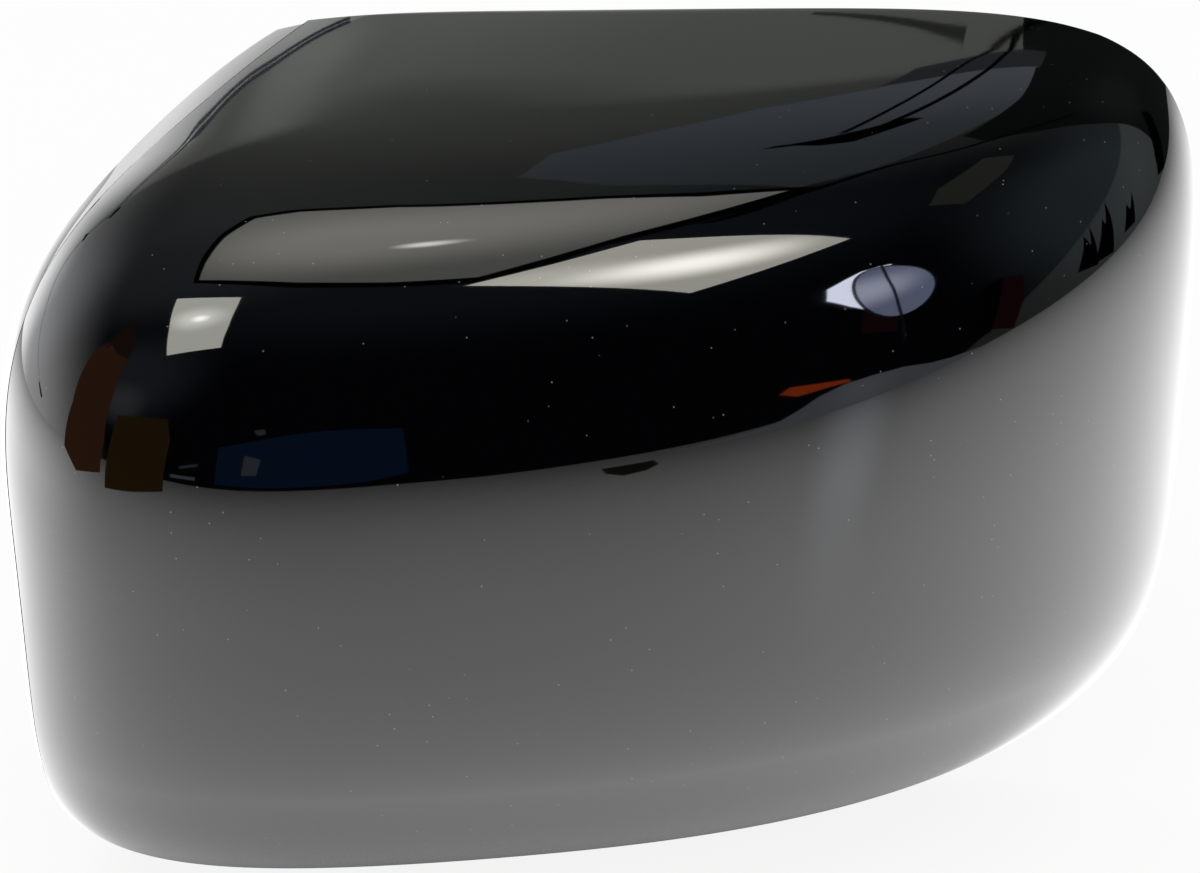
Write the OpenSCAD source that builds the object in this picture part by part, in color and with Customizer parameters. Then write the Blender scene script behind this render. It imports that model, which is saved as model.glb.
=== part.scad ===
// Cover of a car's wing mirror: a clip-on cap, moulded in one piece.
// Left-hand door. +X points outboard, -Y to the front of the car, +Z up.
// The outer face is drawn about the dome's centre, where it is widest. The finished cover is then
// moved so that its origin is on the axis of the inner locating peg, where that leaves its post.

/* [Dome] */
// From the dome's centre to the side by the door, mm
reach_in = 104; // [95:1:115]
// From the dome's centre to the outboard side, mm
reach_out = 134; // [120:1:145]
// From the dome's centre up to the top, mm
rise = 78; // [70:1:86]
// From the dome's centre down to the bottom, mm
drop = 77; // [68:1:84]
// From the dome's centre forward to the nose, mm
depth = 87; // [78:1:100]
// Wall thickness, mm
wall = 2.5; // [2:0.1:3]

/* [Corners and crown] */
// Roundness of the upper corner by the door (1 is an ellipse)
round_in_top = 0.53; // [0.45:0.01:0.8]
// Roundness of the lower corner by the door
round_in_low = 0.27; // [0.25:0.01:0.6]
// Roundness of the upper outboard corner
round_out_top = 0.32; // [0.25:0.01:0.6]
// Roundness of the lower outboard corner
round_out_low = 0.51; // [0.4:0.01:0.8]
// Roundness of the crown above the middle
crown_up = 0.6; // [0.5:0.01:0.8]
// Roundness of the crown below the middle
crown_low = 0.83; // [0.6:0.01:0.95]
// How much longer the walls run back than a plain dome
run_back = 2.2; // [1.8:0.1:2.6]

/* [Sweep] */
// Angle by which the front sweeps back outboard, degrees
sweep = 15.3; // [10:0.1:20]
// Radius of the bow in plan, mm
bow_radius = 420; // [320:5:520]
// Extra height at the outboard end above the middle, as a share
flare_up = 0.08; // [0:0.005:0.11]
// Loss of height at the outboard end below the middle, as a share
taper_low = 0.03; // [0:0.005:0.11]

/* [Edges] */
// Rear edge behind the dome's centre, mm
rim_back = 35; // [28:0.5:40]
// Lean of the rear edge, the top further back, degrees
rim_lean = 15; // [10:0.1:20]
// Edge by the door, inboard of the dome's centre, mm
end_cut = 74.5; // [70:0.5:80]
// Slant of that edge, degrees
end_slant = 17.9; // [10:0.1:20]
// Width of the tongue that tucks under the door-side trim, mm
tongue_width = 9; // [4:0.5:11]
// Step from the outer face down to the tongue, mm
tongue_step = 0.6; // [0.5:0.1:1.2]
// Thickness of the tongue, mm
tongue_thick = 1.2; // [1:0.1:1.4]
// Where the tongue begins and ends, as shares of the edge from its top corner
tongue_span = [0.006, 0.86];
// Length of the tongue's rounded ends, as a share of that edge
tongue_round = 0.1; // [0.04:0.01:0.2]

/* [Clips] */
// Directions of the clips round the edge, degrees up from outboard
clip_angles = [-68, -32, 0, 34, 62, 98, 226, 258];
// Width of a clip, mm
clip_width = 9; // [6:0.5:12]
// Thickness of a clip, mm
clip_thick = 2; // [1.6:0.1:2.6]
// Root of a clip in front of the rear edge, mm
clip_length = 26; // [20:0.5:32]
// Clip tip short of the rear edge, mm
clip_short = 3; // [2:0.5:6]
// How far the barb stands out, mm
barb = 1.6; // [1:0.1:2]
// Length of the barb's ramp, mm
barb_ramp = 5; // [3:0.5:7]
// Length of the foot on the wall, mm
clip_foot = 5; // [3:0.5:7]
// Free space between a clip and the wall, mm
clip_gap = 3; // [2:0.5:4.5]

/* [Guide fins] */
// Directions of the fins that centre the cover on its housing, degrees
fin_angles = [-50, 17, 80, 116, 242, 276];
// Thickness of a fin, mm
fin_thick = 1.4; // [1:0.1:2]
// Height of a fin off the inner face, mm
fin_height = 5; // [3:0.5:7]
// Length of a fin, mm
fin_length = 18; // [12:1:24]
// Fin end short of the rear edge, mm
fin_short = 2; // [1:0.5:5]

/* [Locating pegs] */
// Places of the two pegs, across and up from the dome's centre, mm
peg_places = [[-38, 26], [72, -14]];
// Radius of a peg, mm
peg_radius = 3; // [2:0.1:4]
// Radius of the post that carries a peg, mm
post_radius = 5.5; // [4.5:0.1:7]
// Height of a post above the inner face, mm
post_height = 12; // [9:0.5:16]
// Free length of a peg, mm
peg_length = 10; // [7:0.5:14]
// Bevel at a peg's tip, mm
peg_bevel = 0.8; // [0.4:0.1:1.2]
// Reach of the four webs beside a post, mm
web_reach = 12; // [9:0.5:16]
// Thickness of a web, mm
web_thick = 1.6; // [1.2:0.1:2]
// Height of the webs, as a share of the post's
web_share = 0.6; // [0.4:0.05:0.9]

/* [Hidden] */
gloss_black = "#15171a";
spokes_end = 26;      // spokes across the edge by the door
spokes_rim = 90;      // spokes along the rear edge
rings = 20;           // rings from the nose to the edge
crowding = 0.62;      // draws the spokes into the four corners
blend_sharpness = 2.5;
round_sharpness = 2.0;
height_blend = 40;    // mm over which the upper shape turns into the lower one
halvings = 24;
probe = 0.001;
tiny = 1e-9;
sink = wall * 0.4;    // how deep the inner features root in the wall
round_fn = 40;

// Smooth step from 0 to 1
function blend(t) = 1 / (1 + exp(-2 * t));
function mix(a, b, t) = a + (b - a) * t;
function unit(v) = v / norm(v);

// Direction seen from the dome's centre: turn about the Y axis, then tilt from the nose
function heading(turn, tilt) = [sin(tilt) * cos(turn), -cos(tilt), sin(tilt) * sin(turn)];

// Radius of the plain dome along a unit direction: round at the nose, squarer towards the edge
function dome_radius(d) =
    let (
        out = blend(blend_sharpness * d.x), up = blend(blend_sharpness * d.z),
        out_r = blend(round_sharpness * d.x), up_r = blend(round_sharpness * d.z),
        a = mix(reach_in, reach_out, out), c = mix(drop, rise, up),
        low = mix(round_in_low, round_out_low, out_r), top = mix(round_in_top, round_out_top, out_r),
        side = d.y < 0 ? norm([d.x, d.z]) : 1,
        corner = mix(1, mix(low, top, up_r), side),
        crown = mix(crown_low, crown_up, up_r),
        flat = pow(abs(d.x / a) + tiny, 2 / corner) + pow(abs(d.z / c) + tiny, 2 / corner)
    )
    pow(pow(flat, corner / crown) + pow(abs(d.y / depth) + tiny, 2 / crown), -crown / 2);

// Point of the finished outer face along a unit direction
function face(d) =
    let (
        p = d * dome_radius(d), up = blend(p.z / height_blend),
        back = p.y > 0 ? run_back : 1,
        height = 1 + (flare_up * up - taper_low * (1 - up)) * p.x / reach_out
    )
    [
        p.x,
        p.y * back + tan(sweep) * p.x + p.x * p.x / (2 * bow_radius),
        p.z * height
    ];

// Outward normal of the outer face along a unit direction
function face_normal(d) =
    let (
        t1 = unit(cross(d, [0.31, 0.22, 0.93])), t2 = cross(d, t1),
        a = face(unit(d + probe * t1)) - face(unit(d - probe * t1)),
        b = face(unit(d + probe * t2)) - face(unit(d - probe * t2)),
        n = unit(cross(a, b))
    )
    n * d > 0 ? n : -n;

// The two planes that end the face: the rear edge and the edge by the door
rim_normal = unit([0, 1, -tan(rim_lean)]);
end_normal = unit([-1, tan(end_slant), 0]);
function past_rim(p, short) = p.y - tan(rim_lean) * p.z - rim_back + short > 0;
function past_end(p, extra) = -p.x + tan(end_slant) * p.y - end_cut - extra > 0;

// Tilt at which a spoke meets a plane, found by halving
function rim_tilt(turn, short = 0, lo = 5, hi = 172, n = halvings) =
    n == 0 ? (lo + hi) / 2 :
    past_rim(face(heading(turn, (lo + hi) / 2)), short)
        ? rim_tilt(turn, short, lo, (lo + hi) / 2, n - 1)
        : rim_tilt(turn, short, (lo + hi) / 2, hi, n - 1);
function end_tilt(turn, extra = 0, lo = 5, hi = 172, n = halvings) =
    n == 0 ? (lo + hi) / 2 :
    past_end(face(heading(turn, (lo + hi) / 2)), extra)
        ? end_tilt(turn, extra, lo, (lo + hi) / 2, n - 1)
        : end_tilt(turn, extra, (lo + hi) / 2, hi, n - 1);

// Turn at which the two edges meet; lo has the rear edge first, hi the edge by the door
function corner_turn(lo, hi, n = halvings) =
    n == 0 ? (lo + hi) / 2 :
    end_tilt((lo + hi) / 2) < rim_tilt((lo + hi) / 2)
        ? corner_turn(lo, (lo + hi) / 2, n - 1)
        : corner_turn((lo + hi) / 2, hi, n - 1);
top_corner = corner_turn(95, 180);
low_corner = corner_turn(265, 180);

// Spokes, even in a measure that crowds them into the corners of the outline
function crowd(t) = atan2(drop * sgn_pow(sin(t), crowding), reach_in * sgn_pow(cos(t), crowding));
function uncrowd(t) = atan2(sgn_pow(sin(t) / drop, 1 / crowding), sgn_pow(cos(t) / reach_in, 1 / crowding));
function sgn_pow(v, e) = sign(v) * pow(abs(v), e);
function whole(t) = t < 0 ? t + 360 : t;
end_from = whole(uncrowd(top_corner));
end_to = whole(uncrowd(low_corner));
turns = concat(
    [for (i = [0 : spokes_end - 1]) crowd(mix(end_from, end_to, i / spokes_end))],
    [for (i = [0 : spokes_rim - 1]) crowd(mix(end_to, end_from + 360, i / spokes_rim))]
);
spokes = len(turns);
on_end = [for (i = [0 : spokes - 1]) i > 0 && i < spokes_end];
edge_tilts = [for (i = [0 : spokes - 1]) on_end[i] ? end_tilt(turns[i]) : rim_tilt(turns[i])];

// Inner point under an edge point: one wall away, and still on the edge's plane
function edge_inner(p, n, plane) =
    let (along = unit(n - (n * plane) * plane))
    p - along * wall / (n * along);

// Splits a four-sided patch along its shorter diagonal
function split(points, a, b, c, d) =
    norm(points[a] - points[c]) < norm(points[b] - points[d]) ? [[a, b, c], [a, c, d]] : [[b, c, d], [b, d, a]];

// The thin wall between the outer and the inner face
module shell() {
    outer = [
        for (j = [1 : rings]) for (i = [0 : spokes - 1]) face(heading(turns[i], edge_tilts[i] * j / rings))
    ];
    inner = [
        for (j = [1 : rings]) for (i = [0 : spokes - 1])
            let (d = heading(turns[i], edge_tilts[i] * j / rings), p = face(d), n = face_normal(d))
            j < rings ? p - n * wall : edge_inner(p, n, on_end[i] ? end_normal : rim_normal)
    ];
    nose = face([0, -1, 0]);
    points = concat(outer, inner, [nose, nose - face_normal([0, -1, 0]) * wall]);
    under = rings * spokes;
    edge = rings - 1;
    function at(j, i) = j * spokes + i % spokes;
    polyhedron(
        points,
        [
            for (i = [0 : spokes - 1]) each [
                [2 * under, at(0, i + 1), at(0, i)],
                [2 * under + 1, under + at(0, i), under + at(0, i + 1)],
                each split(points, at(edge, i), at(edge, i + 1), under + at(edge, i + 1), under + at(edge, i))
            ],
            for (j = [0 : edge - 1]) for (i = [0 : spokes - 1]) each [
                each split(points, at(j, i), at(j, i + 1), at(j + 1, i + 1), at(j + 1, i)),
                each split(
                    points, under + at(j, i), under + at(j + 1, i), under + at(j + 1, i + 1), under + at(j, i + 1)
                )
            ]
        ]
    );
}

// Recessed tongue beyond the edge by the door
module tongue() {
    steps = 34;
    root = wall;
    function station(k) = mix(tongue_span[0], tongue_span[1], (1 - cos(180 * k / steps)) / 2);
    function width(at) =
        let (end = min(at, tongue_span[1] + tongue_span[0] - at) / tongue_round)
        tongue_width * sqrt(1 - pow(1 - min(1, end), 2));
    function layer(turn, extra, down) =
        let (d = heading(turn, min(end_tilt(turn, extra), rim_tilt(turn))))
        face(d) - face_normal(d) * down;
    points = [
        for (k = [0 : steps]) let (turn = crowd(mix(end_from, end_to, station(k))), wide = width(station(k))) each [
            layer(turn, -root, tongue_step),
            layer(turn, wide, tongue_step),
            layer(turn, wide, tongue_step + tongue_thick),
            layer(turn, -root, tongue_step + tongue_thick)
        ]
    ];
    polyhedron(
        points,
        [
            [0, 1, 2], [0, 2, 3],
            [4 * steps, 4 * steps + 2, 4 * steps + 1], [4 * steps, 4 * steps + 3, 4 * steps + 2],
            for (k = [0 : steps - 1]) for (side = [0 : 3])
                each split(
                    points, 4 * k + side, 4 * k + 4 + side, 4 * k + 4 + (side + 1) % 4, 4 * k + (side + 1) % 4
                )
        ]
    );
}

// Places a profile drawn as [out, back] at a point of the inner face, and gives it a thickness
module standing(at, out, thick) {
    side = cross(out, [0, 1, 0]);
    multmatrix([
        [out.x, 0, side.x, at.x],
        [out.y, 1, side.y, at.y],
        [out.z, 0, side.z, at.z],
        [0, 0, 0, 1]
    ])
    translate([0, 0, -thick / 2]) linear_extrude(thick) children();
}

// Clip on a foot that stands on the inner face, with a barb on its outer side
module clip(turn) {
    d = heading(turn, rim_tilt(turn, clip_length));
    n = face_normal(d);
    foot = face(d) - n * wall;
    out = unit([n.x, 0, n.z]);
    up = [n * out, n.y];
    along = [-up.y, up.x];
    front = up * sink - along * clip_foot / 2;
    rear = up * sink + along * clip_foot / 2;
    tip = rim_back + tan(rim_lean) * foot.z - clip_short - foot.y;
    standing(foot, out, clip_width)
    polygon([
        front, rear,
        [-clip_gap, rear.y + clip_gap / 2],
        [-clip_gap, tip - barb_ramp],
        [barb - clip_gap, tip - barb_ramp],
        [-clip_gap, tip],
        [-clip_gap - clip_thick, tip],
        [-clip_gap - clip_thick, front.y]
    ]);
}

// Thin fin that follows the inner face up to the edge
module fin(turn) {
    steps = 6;
    end = rim_tilt(turn, fin_short);
    start = rim_tilt(turn, fin_short + fin_length);
    d0 = heading(turn, end);
    n0 = face_normal(d0);
    out = unit([n0.x, 0, n0.z]);
    foot = face(d0) - n0 * wall;
    function rel(d, down) = let (p = face(d) - face_normal(d) * down - foot) [p * out, p.y];
    low = [for (k = [0 : steps]) rel(heading(turn, mix(start, end, k / steps)), wall - sink)];
    high = [for (k = [steps : -1 : 1]) rel(heading(turn, mix(start, end, k / steps)), wall + fin_height)];
    standing(foot, out, fin_thick) polygon(concat(low, high));
}

// Direction whose face point lies over a place given across and up
function aim(place, d = [0, -1, 0], n = 40) =
    n == 0 ? d :
    let (p = face(d))
    aim(place, unit(d + [place.x - p.x, 0, place.y - p.z] / (2 * depth)), n - 1);

// Keeps what stands on the inner face at a foot, down to the depth at which it roots
module rooted(foot, n, size) {
    u = unit(cross(n, [0, 0, 1]));
    v = cross(u, n);
    base = foot + n * sink;
    intersection() {
        children();
        multmatrix([
            [u.x, v.x, -n.x, base.x],
            [u.y, v.y, -n.y, base.y],
            [u.z, v.z, -n.z, base.z],
            [0, 0, 0, 1]
        ])
        translate([-size, -size, 0]) cube([2 * size, 2 * size, 2 * size]);
    }
}

// Point of the inner face on a peg's axis
function peg_foot(place) =
    let (d = aim(place), n = face_normal(d), p = face(d) - n * wall)
    [place.x, p.y + (n.x * (p.x - place.x) + n.z * (p.z - place.y)) / n.y, place.y];
function peg_shoulder(place) = peg_foot(place) + [0, post_height, 0];

// Peg on a post with four webs, standing on the inside of the nose
module peg(place) {
    n = face_normal(aim(place));
    foot = peg_foot(place);
    rooted(foot, n, post_height + peg_length + web_reach)
    translate(foot) {
        rotate([-90, 0, 0]) {
            translate([0, 0, -post_radius]) cylinder(h = post_height + post_radius, r = post_radius, $fn = round_fn);
            cylinder(h = post_height + peg_length - peg_bevel, r = peg_radius, $fn = round_fn);
            translate([0, 0, post_height + peg_length - peg_bevel])
                cylinder(h = peg_bevel, r1 = peg_radius, r2 = peg_radius - peg_bevel, $fn = round_fn);
        }
        for (turn = [0, 90]) rotate([0, turn, 0])
            rotate([-90, 0, 0]) translate([0, 0, -post_radius])
            linear_extrude(post_height * web_share + post_radius)
            square([2 * web_reach, web_thick], center = true);
    }
}

module mirror_cover() {
    color(gloss_black)
    translate(-peg_shoulder(peg_places[0]))
    union() {
        shell();
        tongue();
        for (turn = clip_angles) clip(turn);
        for (turn = fin_angles) fin(turn);
        for (place = peg_places) peg(place);
    }
}

mirror_cover();
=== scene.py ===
import logging
import math
from dataclasses import dataclass, field
from enum import Enum

import bpy
import numpy as np
from mathutils import Matrix, Vector


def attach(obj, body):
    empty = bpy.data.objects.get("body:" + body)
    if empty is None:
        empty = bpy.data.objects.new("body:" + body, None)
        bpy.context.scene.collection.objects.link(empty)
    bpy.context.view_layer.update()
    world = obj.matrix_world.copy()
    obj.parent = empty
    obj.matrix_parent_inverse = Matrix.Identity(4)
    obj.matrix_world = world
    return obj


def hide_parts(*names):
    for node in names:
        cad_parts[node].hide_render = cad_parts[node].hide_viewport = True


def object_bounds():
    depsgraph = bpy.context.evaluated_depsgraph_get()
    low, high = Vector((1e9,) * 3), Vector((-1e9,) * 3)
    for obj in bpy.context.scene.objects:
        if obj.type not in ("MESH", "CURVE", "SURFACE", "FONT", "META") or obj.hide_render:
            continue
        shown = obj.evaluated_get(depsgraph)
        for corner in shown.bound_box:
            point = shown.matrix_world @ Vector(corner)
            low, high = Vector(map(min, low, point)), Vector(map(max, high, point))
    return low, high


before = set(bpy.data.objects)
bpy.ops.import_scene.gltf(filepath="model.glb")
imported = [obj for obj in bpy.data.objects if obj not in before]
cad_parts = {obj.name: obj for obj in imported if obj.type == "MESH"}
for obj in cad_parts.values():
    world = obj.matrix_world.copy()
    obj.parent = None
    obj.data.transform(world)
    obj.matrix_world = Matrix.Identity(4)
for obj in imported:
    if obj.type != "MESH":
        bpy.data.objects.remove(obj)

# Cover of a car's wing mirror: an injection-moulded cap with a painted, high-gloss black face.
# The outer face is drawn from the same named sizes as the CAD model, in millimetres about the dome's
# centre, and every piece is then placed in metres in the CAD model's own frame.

Piece = bpy.types.Object
Finish = bpy.types.Material
Tree = bpy.types.NodeTree
Array = np.ndarray
Place = tuple[float, float]
Colour = tuple[float, float, float]

CAD_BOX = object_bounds()
MM = 0.001
LOG = logging.getLogger("mirror_cover")


class Edge(Enum):
    """The two planes that cut the dome: the rear edge, and the edge by the door."""

    REAR = "rear"
    DOOR = "door"


class Drawn(Enum):
    """How the places of a reflected thing are joined: as the corners of a card, or along a line."""

    CARD = "card"
    LINE = "line"


def linear(hex_colour: str) -> tuple[float, float, float, float]:
    """Turn an sRGB hex colour into linear light.

    Args:
        hex_colour: The colour as #rrggbb.

    Returns:
        Red, green, blue and alpha, linear.
    """
    parts = [int(hex_colour[i:i + 2], 16) / 255 for i in (1, 3, 5)]
    return (*[c / 12.92 if c <= 0.04045 else ((c + 0.055) / 1.055) ** 2.4 for c in parts], 1.0)


def add_node(tree: Tree, kind: str, settings: dict | None = None, **links: object) -> bpy.types.Node:
    """Add a shader node with its settings and links.

    Args:
        tree: The node tree to add to.
        kind: The node's type, without the ShaderNode that each type starts with.
        settings: Node properties by name, and socket values by number.
        links: An output socket for each input, written as i0, i1 and so on, or by the input's name.

    Returns:
        The new node.
    """
    node = tree.nodes.new("ShaderNode" + kind)
    for key, value in (settings or {}).items():
        if isinstance(key, int):
            node.inputs[key].default_value = value
        elif key in node.inputs:
            node.inputs[key].default_value = value
        else:
            setattr(node, key, value)
    for key, socket in links.items():
        is_number = key[0] == "i" and key[1:].isdigit()
        tree.links.new(socket, node.inputs[int(key[1:]) if is_number else key.replace("_", " ")])
    return node


def fresh_material(name: str) -> tuple[Finish, Tree]:
    """Make an empty node material.

    Args:
        name: The material's name.

    Returns:
        The material and its node tree.
    """
    material = bpy.data.materials.new(name)
    material.use_nodes = True
    material.node_tree.nodes.clear()
    return material, material.node_tree


def deselect_all() -> None:
    """Deselect every object, because an operator acts on all that is selected."""
    if bpy.context.object and bpy.context.object.mode != "OBJECT":
        bpy.ops.object.mode_set(mode="OBJECT")
    bpy.ops.object.select_all(action="DESELECT")


def make_active(piece: Piece) -> None:
    """Select one object alone and make it the active one."""
    deselect_all()
    piece.select_set(True)
    bpy.context.view_layer.objects.active = piece


def positions(piece: Piece) -> Array:
    """Return the vertices of a mesh as an array of three columns."""
    flat = np.empty(len(piece.data.vertices) * 3)
    piece.data.vertices.foreach_get("co", flat)
    return flat.reshape(-1, 3)


def set_positions(piece: Piece, places: Array) -> None:
    """Move the vertices of a mesh to the places in an array of three columns."""
    piece.data.vertices.foreach_set("co", places.ravel())
    piece.data.update()


def select_edges(piece: Piece, chosen: Array) -> None:
    """Select edges of a mesh by a mask, ready for edit mode.

    Args:
        piece: The object.
        chosen: True for each edge to select.
    """
    mesh = piece.data
    for group in (mesh.vertices, mesh.edges, mesh.polygons):
        group.foreach_set("select", np.zeros(len(group), dtype=bool))
    mesh.edges.foreach_set("select", chosen)
    bpy.ops.object.mode_set(mode="EDIT")
    bpy.ops.mesh.select_mode(type="EDGE")


def edge_ends(piece: Piece) -> Array:
    """Return the two vertex numbers of each edge of a mesh, an edge a row."""
    ends = np.empty(len(piece.data.edges) * 2, dtype=int)
    piece.data.edges.foreach_get("vertices", ends)
    return ends.reshape(-1, 2)


def extrude_all(height: float) -> None:
    """Extrude the whole active mesh straight up by a height, or down by a negative one."""
    bpy.ops.object.mode_set(mode="EDIT")
    bpy.ops.mesh.select_all(action="SELECT")
    bpy.ops.mesh.extrude_region_move(TRANSFORM_OT_translate={"value": (0, 0, height)})
    bpy.ops.object.mode_set(mode="OBJECT")


def face_outwards(piece: Piece) -> None:
    """Turn the faces of a closed piece outwards."""
    make_active(piece)
    bpy.ops.object.mode_set(mode="EDIT")
    bpy.ops.mesh.select_all(action="SELECT")
    bpy.ops.mesh.normals_make_consistent(inside=False)
    bpy.ops.object.mode_set(mode="OBJECT")


def soften(piece: Piece, width: float, sharp: float, smooth: float) -> None:
    """Round the sharp edges of the active piece, and shade it.

    Args:
        piece: The piece.
        width: Width of the rounding, millimetres.
        sharp: Edges that turn by more than this many degrees are rounded.
        smooth: Edges that turn by less than this many degrees are shaded smooth.
    """
    rounding = piece.modifiers.new("edge", "BEVEL")
    rounding.width, rounding.segments, rounding.angle_limit = width * MM, 2, math.radians(sharp)
    bpy.ops.object.modifier_apply(modifier=rounding.name)
    bpy.ops.object.shade_smooth_by_angle(angle=math.radians(smooth))


# The form of the cover.

def blend(t: Array) -> Array:
    """Step smoothly from 0 to 1."""
    return 1 / (1 + np.exp(-2 * t))


def mix(a: Array | float, b: Array | float, t: Array | float) -> Array:
    """Return a value part of the way from a to b."""
    return a + (b - a) * t


def unit(v: Array) -> Array:
    """Scale each row to length 1."""
    return v / np.linalg.norm(v, axis=-1, keepdims=True)


def headings(turn: Array, tilt: Array) -> Array:
    """Return directions from the dome's centre.

    Args:
        turn: Degrees about the Y axis, 0 outboard and 90 up.
        tilt: Degrees away from the nose.

    Returns:
        One unit direction a row.
    """
    a, b = np.radians(turn), np.radians(tilt)
    return np.stack([np.sin(b) * np.cos(a), -np.cos(b) + 0 * a, np.sin(b) * np.sin(a)], axis=-1)


@dataclass(frozen=True)
class CoverForm:
    """Outer face of the cover, in millimetres about the dome's centre, with the CAD model's own sizes."""

    reach_in: float = 104.0
    reach_out: float = 134.0
    rise: float = 78.0
    drop: float = 77.0
    depth: float = 87.0
    wall: float = 2.5
    round_in: tuple[float, float] = (0.27, 0.53)
    round_out: tuple[float, float] = (0.51, 0.32)
    crown: tuple[float, float] = (0.83, 0.6)
    run_back: float = 2.2
    sweep: float = 15.3
    bow_radius: float = 420.0
    flare_up: float = 0.08
    taper_low: float = 0.03
    rim_back: float = 35.0
    rim_lean: float = 15.0
    end_cut: float = 74.5
    end_slant: float = 17.9
    peg_shoulder: tuple[float, float, float] = (-38.0, -78.6087, 26.0)
    blend_sharpness: float = 2.5
    round_sharpness: float = 2.0
    height_blend: float = 40.0
    least_tilt: float = 5.0
    most_tilt: float = 172.0
    halvings: int = 26
    aim_steps: int = 60
    probe: float = 0.001
    probe_way: tuple[float, float, float] = (0.31, 0.22, 0.93)
    tiny: float = 1e-9

    def dome_radius(self, d: Array) -> Array:
        """Radius of the plain dome, round at the nose and squarer towards the edge.

        Args:
            d: Unit directions.

        Returns:
            Radii in millimetres.
        """
        x, y, z = d[..., 0], d[..., 1], d[..., 2]
        up_r, out_r = blend(self.round_sharpness * z), blend(self.round_sharpness * x)
        a = mix(self.reach_in, self.reach_out, blend(self.blend_sharpness * x))
        c = mix(self.drop, self.rise, blend(self.blend_sharpness * z))
        low = mix(self.round_in[0], self.round_out[0], out_r)
        top = mix(self.round_in[1], self.round_out[1], out_r)
        side = np.where(y < 0, np.hypot(x, z), 1)
        corner = mix(1, mix(low, top, up_r), side)
        crown = mix(self.crown[0], self.crown[1], up_r)
        flat = (np.abs(x / a) + self.tiny) ** (2 / corner) + (np.abs(z / c) + self.tiny) ** (2 / corner)
        forward = (np.abs(y / self.depth) + self.tiny) ** (2 / crown)
        return (flat ** (corner / crown) + forward) ** (-crown / 2)

    def face(self, d: Array) -> Array:
        """Points of the finished outer face.

        Args:
            d: Unit directions.

        Returns:
            Points in millimetres about the dome's centre.
        """
        p = d * self.dome_radius(d)[..., None]
        x, y, z = p[..., 0], p[..., 1], p[..., 2]
        up = blend(z / self.height_blend)
        height = 1 + (self.flare_up * up - self.taper_low * (1 - up)) * x / self.reach_out
        back = np.where(y > 0, self.run_back, 1)
        swept = y * back + math.tan(math.radians(self.sweep)) * x + x * x / (2 * self.bow_radius)
        return np.stack([x, swept, z * height], axis=-1)

    def normal(self, d: Array) -> Array:
        """Outward normals of the outer face.

        Args:
            d: Unit directions.

        Returns:
            Unit normals.
        """
        t1 = unit(np.cross(d, self.probe_way))
        t2 = np.cross(d, t1)
        a = self.face(unit(d + self.probe * t1)) - self.face(unit(d - self.probe * t1))
        b = self.face(unit(d + self.probe * t2)) - self.face(unit(d - self.probe * t2))
        n = unit(np.cross(a, b))
        return n * np.sign(np.sum(n * d, axis=-1, keepdims=True))

    def plane_normal(self, edge: Edge) -> Array:
        """Outward normal of the plane of an edge."""
        if edge is Edge.REAR:
            return unit(np.array([0.0, 1.0, -math.tan(math.radians(self.rim_lean))]))
        return unit(np.array([-1.0, math.tan(math.radians(self.end_slant)), 0.0]))

    def past(self, edge: Edge, p: Array, extra: Array | float = 0.0) -> Array:
        """Tell which points lie beyond an edge.

        Args:
            edge: The edge.
            p: Points in millimetres about the dome's centre.
            extra: Distance beyond the edge that the line is moved by.

        Returns:
            True for points beyond the line.
        """
        if edge is Edge.REAR:
            return p[..., 1] - math.tan(math.radians(self.rim_lean)) * p[..., 2] - self.rim_back - extra > 0
        return -p[..., 0] + math.tan(math.radians(self.end_slant)) * p[..., 1] - self.end_cut - extra > 0

    def tilt_at(self, edge: Edge, turn: Array, extra: Array | float = 0.0) -> Array:
        """Find by halving the tilt at which each spoke passes an edge.

        Args:
            edge: The edge.
            turn: Turns of the spokes, degrees.
            extra: Distance beyond the edge that the line is moved by.

        Returns:
            Tilts in degrees.
        """
        low, high = np.full(np.shape(turn), self.least_tilt), np.full(np.shape(turn), self.most_tilt)
        for _ in range(self.halvings):
            middle = (low + high) / 2
            beyond = self.past(edge, self.face(headings(turn, middle)), extra)
            low, high = np.where(beyond, low, middle), np.where(beyond, middle, high)
        return (low + high) / 2

    def rim_tilt(self, turn: Array) -> Array:
        """Tilt of whichever edge comes first at each turn."""
        return np.minimum(self.tilt_at(Edge.REAR, turn), self.tilt_at(Edge.DOOR, turn))

    def corner_turn(self, rim_side: float, end_side: float) -> float:
        """Find by halving the turn at which the two edges meet.

        Args:
            rim_side: A turn at which the rear edge comes first.
            end_side: A turn at which the edge by the door comes first.

        Returns:
            The turn in degrees.
        """
        for _ in range(self.halvings):
            middle = np.array([(rim_side + end_side) / 2])
            if self.tilt_at(Edge.DOOR, middle)[0] < self.tilt_at(Edge.REAR, middle)[0]:
                end_side = middle[0]
            else:
                rim_side = middle[0]
        return (rim_side + end_side) / 2

    def door_corners(self) -> tuple[float, float]:
        """Turns at which the two edges meet, at the top and at the bottom."""
        return self.corner_turn(95, 180), self.corner_turn(265, 180)

    def aim(self, across: float, up: float) -> Array:
        """Find the direction whose face point lies over a place given across and up."""
        d = np.array([0.0, -1.0, 0.0])
        for _ in range(self.aim_steps):
            p = self.face(d)
            d = unit(d + np.array([across - p[0], 0.0, up - p[2]]) / (2 * self.depth))
        return d

    def placed(self, p: Array) -> Array:
        """Turn points about the dome's centre into metres in the CAD model's frame."""
        return (p - np.array(self.peg_shoulder)) * MM

    def measured(self, p: Array) -> Array:
        """Turn points in metres in the CAD model's frame into millimetres about the dome's centre."""
        return p / MM + np.array(self.peg_shoulder)


# Finishes.

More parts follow.
